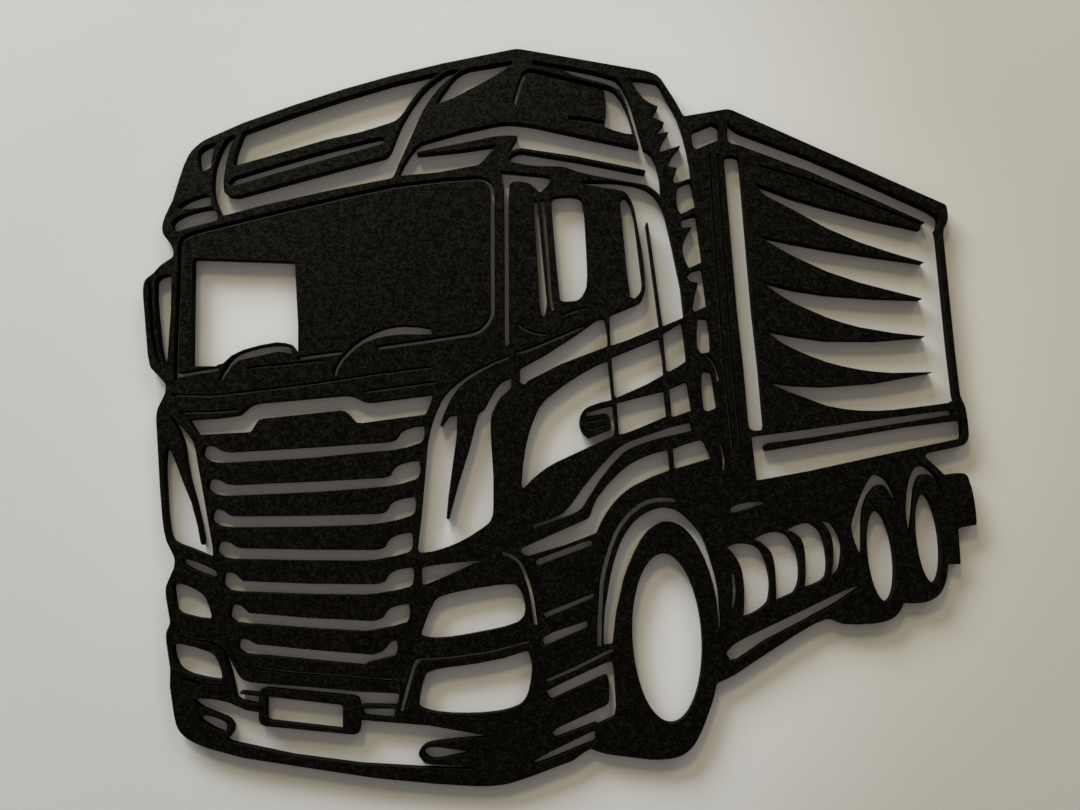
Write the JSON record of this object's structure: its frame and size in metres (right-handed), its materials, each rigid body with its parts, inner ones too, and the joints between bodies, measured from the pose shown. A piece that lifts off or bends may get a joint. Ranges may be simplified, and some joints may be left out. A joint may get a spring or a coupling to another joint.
{
  "type": "truck wall plaque",
  "caption": "Flat black cut-out wall plaque of a box truck seen from its front corner, one sheet thick, with open windows, slotted grille and claw-mark stripes.",
  "frame": {"origin": "middle of the plate on its back face", "axes": "+X to the right of the picture, +Y up the picture, +Z out of the front face"},
  "size_m": [0.2502, 0.2213, 0.003],
  "materials": {
    "black_plastic": "black PLA print, grainy front face from a textured print bed, smooth side walls"
  },
  "bodies": {
    "root": {"far_mirror": "black_plastic", "far_cap": "black_plastic", "roof_edge": "black_plastic", "roof_visor": "black_plastic", "roof_side": "black_plastic", "windscreen_frame": "black_plastic", "side_fin": "black_plastic", "gutter_rail": "black_plastic", "windscreen": "black_plastic", "wiper_far": "black_plastic", "wiper_near": "black_plastic", "cowl": "black_plastic", "grille": "black_plastic", "far_corner": "black_plastic", "far_headlamps": "black_plastic", "bumper": "black_plastic", "number_plate": "black_plastic", "near_headlamps": "black_plastic", "near_corner": "black_plastic", "front_steps": "black_plastic", "wheel_arch": "black_plastic", "front_mudguard": "black_plastic", "front_tyre": "black_plastic", "door": "black_plastic", "near_mirror": "black_plastic", "deflector": "black_plastic", "box_front_post": "black_plastic", "box_top_rail": "black_plastic", "box_side_panel": "black_plastic", "box_rear_post": "black_plastic", "box_bottom_rail": "black_plastic", "chassis": "black_plastic", "tank": "black_plastic", "side_skirt": "black_plastic", "rear_tyre_front": "black_plastic", "rear_tyre_back": "black_plastic", "rear_lamp": "black_plastic"}
  },
  "joints": []
}
